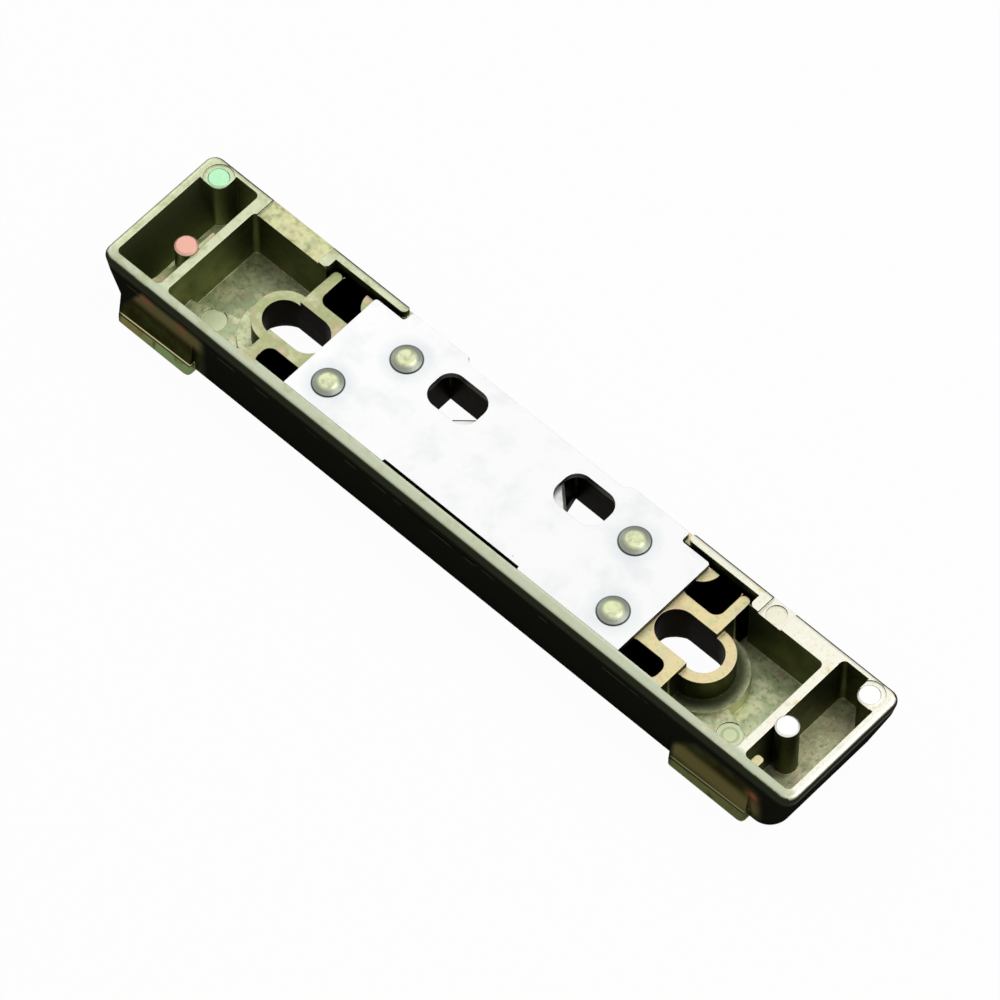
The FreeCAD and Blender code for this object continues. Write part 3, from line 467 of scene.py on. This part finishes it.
def inner_colour(tree, place, measures, turn):
    """Colour of all that isn't outside: tops, walls in painted shade, marks, studs and the black
    depths.
    """
    along, across, height = measures
    reach = value_of(tree, "ABSOLUTE", along)
    from_slot = slot_distance(tree, reach, across)
    upward = ramp_between(tree, turn, *FACING_UP)
    # Painted shade: walls are painted darker than the faces that look up, less so on the left
    # end wall.
    shaded_walls = blend_colour(tree, clouded(tree, place, 3.5 * MM, 0.35, 0.65), WALL_SHADE_DARK, WALL_SHADE_OLIVE)
    shaded_walls = blend_colour(tree, ramp_between(tree, along, *LEFT_END), shaded_walls, END_WALL_SHADE)
    # Painted light: the side of the raised floor round the slot is painted pale.
    plateau_side_lit = band(tree, from_slot, PLATEAU_RADIUS, 0.15 * MM, 0.1 * MM)
    shaded_walls = blend_colour(tree, plateau_side_lit, shaded_walls, FLOOR_PALE)
    tops = top_colour(tree, place, along, across, height, from_slot)
    colour = blend_colour(tree, upward, shaded_walls, tops)

    flat = flattened(tree, reach, across)
    mark = both(tree, within(tree, flat, MARK_PLACE, MARK_RADIUS, 0.08 * MM), upward)
    colour = blend_colour(tree, mark, colour, MARK_PALE)
    inner, outer = (within(tree, flat, MARK_PLACE, radius, 0.12 * MM) for radius in MARK_GROOVE)
    groove = both(tree, outer, upward, apart_from(tree, inner),
                  ramp_between(tree, along, *RIGHT_HALF))
    colour = blend_colour(tree, groove, colour, FLOOR_OLIVE)

    in_middle = both(tree, ramp_between(tree, height, *UNDER_DECK),
                     ramp_between(tree, reach, *INSIDE_WEBS))
    colour = blend_colour(tree, in_middle, colour, INSIDE_BLACK)
    in_slot = both(tree, ramp_between(tree, from_slot, *IN_SLOT),
                   ramp_between(tree, turn, *STEEP_IN_SLOT))
    colour = blend_colour(tree, in_slot, colour, INSIDE_BLACK)
    in_recess = both(tree, ramp_between(tree, from_slot, *IN_HEAD_RECESS),
                     ramp_between(tree, height, *UNDER_MIDDLE_FLOOR))
    colour = blend_colour(tree, in_recess, colour, FRONT_BLACK)
    return stud_and_pin_colour(tree, place, along, height, upward, flat, colour)


# Feet on the rear side: brown and rust-orange tones with painted light where the side flares
# out, and a lip with a painted highlight along its ridge.
LEFT_FOOT_START = -58.1 * MM
RIGHT_FOOT_START = 41.6 * MM
FOOT_LENGTH = 13.3 * MM
ON_REAR_SIDE = (-6 * MM, -8 * MM)
FOOT_ZONE_RISE_LEFT = 1.7
FOOT_ZONE_LOW_LEFT = 2.5 * MM
FOOT_ZONE_TOP_LEFT = 9.3 * MM
FOOT_ZONE_LOW_RIGHT = 4.0 * MM
FOOT_ZONE_TOP_RIGHT = 8.2 * MM
FOOT_ZONE_FADE = (-0.8 * MM, 1.0 * MM)
FOOT_ZONE_START = (-0.2 * MM, 1.0 * MM)
FOOT_ZONE_END = (FOOT_LENGTH + 2.6 * MM, FOOT_LENGTH + 0.6 * MM)
LIP_END = (FOOT_LENGTH + 0.4 * MM, FOOT_LENGTH)
RIDGE_START_HEIGHT = 1.4 * MM
RIDGE_RISE = 0.056
RIDGE_SHINE_LEFT = 0.90
RIDGE_SHINE_RIGHT = 0.25
RIGHT_BAND_HEIGHT = 3.7 * MM
LEFT_BAND_LIFT = 4.1 * MM
RUST_PLACES = ((-53.3 * MM, 8.6 * MM), (-46.9 * MM, 8.4 * MM), (55.6 * MM, 6.3 * MM))
RUST_RADIUS = 0.9 * MM
FOOT_REFLECTION = (0.092, 0.078, 0.027, 1)
FOOT_DARK = (0.015, 0.0125, 0.002, 1)
FOOT_GREEN = (0.022, 0.028, 0.007, 1)
FOOT_RUST = (0.19, 0.070, 0.028, 1)
RIDGE_LINE_HIGHLIGHT = (0.58, 0.54, 0.30, 1)
LIP_GOLD = (0.17, 0.145, 0.050, 1)
LIP_GREEN = (0.17, 0.23, 0.095, 1)
LIP_OLIVE = (0.085, 0.095, 0.035, 1)


def foot_step(tree, along):
    """Distance along the nearer foot from its start, and which end it is on."""
    on_left = value_of(tree, "LESS_THAN", along, 0.0)
    start = value_of(tree, "MULTIPLY_ADD", on_left, LEFT_FOOT_START - RIGHT_FOOT_START,
                     RIGHT_FOOT_START)
    step = value_of(tree, "SUBTRACT", along, start)
    return step, on_left, apart_from(tree, on_left)


def foot_zone(tree, along, across, height):
    """Part of the rear side that the feet and the lighter metal above them take up."""
    step, on_left, on_right = foot_step(tree, along)
    top_left = value_of(tree, "MULTIPLY_ADD", step, FOOT_ZONE_RISE_LEFT, FOOT_ZONE_LOW_LEFT)
    top_left = value_of(tree, "MINIMUM", top_left, FOOT_ZONE_TOP_LEFT)
    top_right = value_of(tree, "ADD", step, FOOT_ZONE_LOW_RIGHT)
    top_right = value_of(tree, "MINIMUM", top_right, FOOT_ZONE_TOP_RIGHT)
    top = value_of(tree, "ADD", both(tree, top_left, on_left), both(tree, top_right, on_right))
    under_top = ramp_between(tree, value_of(tree, "SUBTRACT", top, height), *FOOT_ZONE_FADE)
    return both(tree, under_top, ramp_between(tree, across, *ON_REAR_SIDE),
                ramp_between(tree, step, *FOOT_ZONE_START), ramp_between(tree, step, *FOOT_ZONE_END))


def foot_colour(tree, place, along, height):
    """Brown and green tones, a painted reflection band, rust-orange spots, and the lip with a
    painted ridge highlight and shade.
    """
    step, on_left, on_right = foot_step(tree, along)
    band_height = value_of(tree, "MULTIPLY_ADD", on_left, LEFT_BAND_LIFT, RIGHT_BAND_HEIGHT)
    off_band = value_of(tree, "SUBTRACT", height, band_height)
    colour = patched(tree, place, FOOT_DARK, ((2.6 * MM, 0.40, 0.70, FOOT_GREEN),))
    # Painted reflection: a lighter band where the flaring side catches the light.
    reflection_band = band(tree, off_band, 0.0, 0.6 * MM, 1.9 * MM)
    colour = blend_colour(tree, reflection_band, colour, FOOT_REFLECTION)
    flat_side = flattened(tree, along, height)
    for centre in RUST_PLACES:
        rust = both(tree, within(tree, flat_side, centre, RUST_RADIUS, RUST_RADIUS),
                    clouded(tree, place, 1.5 * MM, 0.20, 0.60))
        colour = blend_colour(tree, rust, colour, FOOT_RUST)

    ridge_height = value_of(tree, "MULTIPLY_ADD", step, RIDGE_RISE, RIDGE_START_HEIGHT)
    over_ridge = value_of(tree, "SUBTRACT", height, ridge_height)
    lip = blend_colour(tree, ramp_between(tree, step, 3 * MM, 9 * MM), LIP_GOLD, LIP_GREEN)
    lip = blend_colour(tree, on_right, lip, LIP_OLIVE)
    lip = patched(tree, place, lip, ((1.5 * MM, 0.50, 0.85, FOOT_DARK),))
    lip_edge = ramp_between(tree, height, 0.45 * MM, 0.15 * MM)
    lip = blend_colour(tree, lip_edge, lip, LIP_GREEN)
    on_foot = ramp_between(tree, step, *LIP_END)
    on_lip = both(tree, on_foot, ramp_between(tree, over_ridge, 0.0, -0.1 * MM))
    colour = blend_colour(tree, on_lip, colour, lip)
    # Painted shade: a dark line just under the lip's ridge.
    under_ridge_shade = both(tree, on_foot, band(tree, over_ridge, -0.22 * MM, 0.06 * MM, 0.08 * MM))
    colour = blend_colour(tree, under_ridge_shade, colour, FOOT_DARK)
    # Painted highlight along the lip's ridge, stronger on the left foot.
    shine = value_of(tree, "MULTIPLY_ADD", on_left, RIDGE_SHINE_LEFT - RIDGE_SHINE_RIGHT,
                     RIDGE_SHINE_RIGHT)
    ridge_highlight = both(tree, on_foot, band(tree, over_ridge, 0.05 * MM, 0.09 * MM, 0.08 * MM),
                      shine)
    return blend_colour(tree, ridge_highlight, colour, RIDGE_LINE_HIGHLIGHT)


# Drafted outside, painted nearly black as shade: how its ends lean, and where that painted shade
# begins.
CASTING_ROUGHNESS = 0.42
SIDE_SHADE_REACH = (10.20 * MM, 10.35 * MM)
END_DRAFT = 0.177
END_LEAN = 0.306
END_LEAN_START = -0.398 * MM
END_SHADE_REACH = (HALF_LENGTH - 0.85 * MM, HALF_LENGTH - 0.70 * MM)
CORNER_SIDE = (9.50 * MM, 9.65 * MM)
CORNER_END = (HALF_LENGTH - 1.50 * MM, HALF_LENGTH - 1.35 * MM)
LOW_CORNER_SIDE = (7.5 * MM, 8.0 * MM)
LOW_CORNER_END = (HALF_LENGTH - 5.0 * MM, HALF_LENGTH - 4.5 * MM)
LOW_CORNER_TOP = (2.6 * MM, 2.3 * MM)
UNDER_RIM = (RIM_HEIGHT - 2.6 * MM, RIM_HEIGHT - 0.8 * MM)
PAINTED_SHADE_TOP = (10.5 * MM, 9.5 * MM)


def outside_share(tree, measures, turn):
    """1 on the drafted sides, ends and corners of the casting, and 0 inside it."""
    along, across, height = measures
    reach = value_of(tree, "ABSOLUTE", along)
    below_rim = value_of(tree, "SUBTRACT", RIM_HEIGHT, height)
    middle_offset = value_of(tree, "SUBTRACT", across, MIDDLE_Y)
    side_reach = value_of(tree, "ABSOLUTE", middle_offset)
    steep = value_of(tree, "MULTIPLY", below_rim, END_DRAFT)
    lean = value_of(tree, "MULTIPLY_ADD", below_rim, END_LEAN, END_LEAN_START)
    end_reach = value_of(tree, "ADD", reach, value_of(tree, "MAXIMUM", steep, lean))
    on_side = both(tree, ramp_between(tree, side_reach, *SIDE_SHADE_REACH),
                   ramp_between(tree, turn, *STEEP_SIDE))
    at_corner = both(tree, ramp_between(tree, side_reach, *CORNER_SIDE),
                     ramp_between(tree, end_reach, *CORNER_END))
    low_corner = both(tree, ramp_between(tree, side_reach, *LOW_CORNER_SIDE),
                      ramp_between(tree, end_reach, *LOW_CORNER_END),
                      ramp_between(tree, height, *LOW_CORNER_TOP))
    near_end = value_of(tree, "MAXIMUM", at_corner, low_corner)
    near_end = value_of(tree, "MAXIMUM", ramp_between(tree, end_reach, *END_SHADE_REACH), near_end)
    on_end = both(tree, near_end, ramp_between(tree, turn, *STEEP_END))
    return value_of(tree, "MAXIMUM", on_side, on_end)


def casting_finish():
    """Passivated zinc: bare metal inside and on top; outside, painted shade nearly black without
    sheen.
    """
    material, tree, shader = new_finish("yellow_passivated_casting", metallic=1.0,
                                        roughness=CASTING_ROUGHNESS)
    place, measures, turn = place_sockets(tree)
    along, across, height = measures
    # Painted shade: the outside is nearly black, with a painted highlight fading down from the
    # rim.
    outside_colour = blend_colour(tree, ramp_between(tree, height, *UNDER_RIM),
                        OUTSIDE_SHADE_BLACK, UNDER_RIM_HIGHLIGHT)
    # Painted highlight along the parting line, in broken lengths.
    parting_highlight = both(tree, band(tree, height, PARTING_HEIGHT, 0.03 * MM, 0.05 * MM),
                   clouded(tree, place, 5 * MM, 0.50, 0.58))
    outside_colour = blend_colour(tree, parting_highlight, outside_colour, PARTING_LINE_HIGHLIGHT)
    at_feet = foot_zone(tree, along, across, height)
    outside_colour = blend_colour(tree, at_feet, outside_colour, foot_colour(tree, place, along, height))
    outside = outside_share(tree, measures, turn)
    colour = blend_colour(tree, outside, inner_colour(tree, place, measures, turn), outside_colour)
    face_down = both(tree, ramp_between(tree, turn, *FACING_DOWN),
                     ramp_between(tree, height, *AT_FRONT_FACE))
    colour = blend_colour(tree, face_down, colour, FRONT_BLACK)
    join(tree, colour, shader.inputs["Base Color"])

    # Where the outside is painted as shade, its metal sheen is turned off.
    painted_shade_area = both(tree, outside, ramp_between(tree, height, *PAINTED_SHADE_TOP),
                     apart_from(tree, at_feet))
    join(tree, apart_from(tree, painted_shade_area), shader.inputs["Metallic"])
    shader.inputs["Specular IOR Level"].default_value = 0.0
    add_grain(tree, shader, place, 0.15 * MM, ((1.6 * MM, 0.05 * MM), (0.35 * MM, 0.02 * MM)))
    return material


dress("housing_casting", casting_finish())


# Claw pins: two ground steel pins, pressed into the casting, on which the claws turn. The plate
# hides them.

PIN_STEEL = (0.60, 0.60, 0.60, 1)
PIN_SHADE = (0.45, 0.45, 0.45, 1)


def steel_finish(name, light, dark, roughness):
    """Plain steel with soft patches of a darker shade and a very fine grain."""
    material, tree, shader = new_finish(name, 0.9, roughness)
    place = new_node("ShaderNodeTexCoord", tree).outputs["Object"]
    colour = patched(tree, place, light, ((2 * MM, 0.4, 0.7, dark),))
    join(tree, colour, shader.inputs["Base Color"])
    add_grain(tree, shader, place, 0.1 * MM, ((0.2 * MM, 0.004 * MM),))
    return material


pin_steel = steel_finish("ground_pin_steel", PIN_STEEL, PIN_SHADE, roughness=0.25)
for side in ("left", "right"):
    dress("claw_pin_" + side, pin_steel)


# Release slide: a zinc plated steel block that runs in the side mouth and pushes both claws
# back. Only its end face shows, in the mouth.

SLIDE_STEEL = (0.50, 0.50, 0.46, 1)
SLIDE_SHADE = (0.43, 0.43, 0.39, 1)

slide_steel = steel_finish("plated_slide_steel", SLIDE_STEEL, SLIDE_SHADE, roughness=0.35)
dress("release_slide", slide_steel)


# Claws: stamped steel levers, zinc plated and bright, that turn on the pins. Their noses cross
# the windows' corners and draw back when the slide is pushed in.

BRIGHT_STEEL = (0.82, 0.82, 0.80, 1)
BEVEL_STEEL = (0.62, 0.61, 0.54, 1)

claw_steel = steel_finish("bright_plated_claw", BRIGHT_STEEL, BEVEL_STEEL, roughness=0.3)
for side in ("left", "right"):
    dress("claw_" + side, claw_steel)


# Springs: three small compression springs of drawn wire, seated against the rear wall. One
# presses the slide and one presses each claw's tab.

SPRING_STEEL = (0.42, 0.42, 0.43, 1)
SPRING_SHADE = (0.28, 0.28, 0.28, 1)


def press_spring(node_name):
    """Gives a spring its own copy of its mesh."""
    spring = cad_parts[node_name]
    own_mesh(spring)


spring_steel = steel_finish("spring_wire", SPRING_STEEL, SPRING_SHADE, roughness=0.3)
dress("slide_spring", spring_steel)
press_spring("slide_spring")
for side in ("left", "right"):
    dress("claw_spring_" + side, spring_steel)
    press_spring("claw_spring_" + side)


# Back plate: flat steel sheet, blanked and galvanised, pushed over the four studs and held by
# their peened heads. It is almost white, with faint cloudy patches and tiny dark specks.

ZINC_WHITE = (0.84, 0.845, 0.84, 1)
ZINC_CLOUD = (0.765, 0.775, 0.78, 1)
ZINC_HALO = (0.64, 0.69, 0.72, 1)
STUD_SHADOW = (0.10, 0.11, 0.11, 1)
SPECK_GREY = (0.45, 0.46, 0.46, 1)
PLATE_EDGE_SHADE = (0.05, 0.05, 0.045, 1)
ZINC_PATCHES = ((5 * MM, 0.45, 0.75, ZINC_CLOUD), (0.5 * MM, 0.74, 0.80, SPECK_GREY))
HALO_RADIUS = 3.3 * MM
HALO_FADE = 1.2 * MM
SHADOW_RADIUS = 2.32 * MM
TURNED_AWAY = (0.6, 0.3)


def plate_finish():
    """Galvanised sheet with a faint halo and a painted shadow line round each stud, and painted
    shade on its edges.
    """
    material, tree, shader = new_finish("galvanised_sheet", metallic=0.9, roughness=0.38)
    place, (along, across, _), turn = place_sockets(tree)
    flat = flattened(tree, value_of(tree, "ABSOLUTE", along), across)
    colour = patched(tree, place, ZINC_WHITE, ZINC_PATCHES)
    for centre in STUD_PLACES:
        halo = both(tree, within(tree, flat, centre, HALO_RADIUS, HALO_FADE),
                    cloud(tree, place, 3 * MM))
        colour = blend_colour(tree, halo, colour, ZINC_HALO)
        shadow = within(tree, flat, centre, SHADOW_RADIUS, 0.08 * MM)
        colour = blend_colour(tree, shadow, colour, STUD_SHADOW)
    # Painted shade on the plate's faces that turn away from the top, its edges.
    colour = blend_colour(tree, ramp_between(tree, turn, *TURNED_AWAY), colour, PLATE_EDGE_SHADE)
    join(tree, colour, shader.inputs["Base Color"])
    add_grain(tree, shader, place, 0.08 * MM, ((2.5 * MM, 0.02 * MM), (0.25 * MM, 0.006 * MM)))
    return material


dress("back_plate", plate_finish())
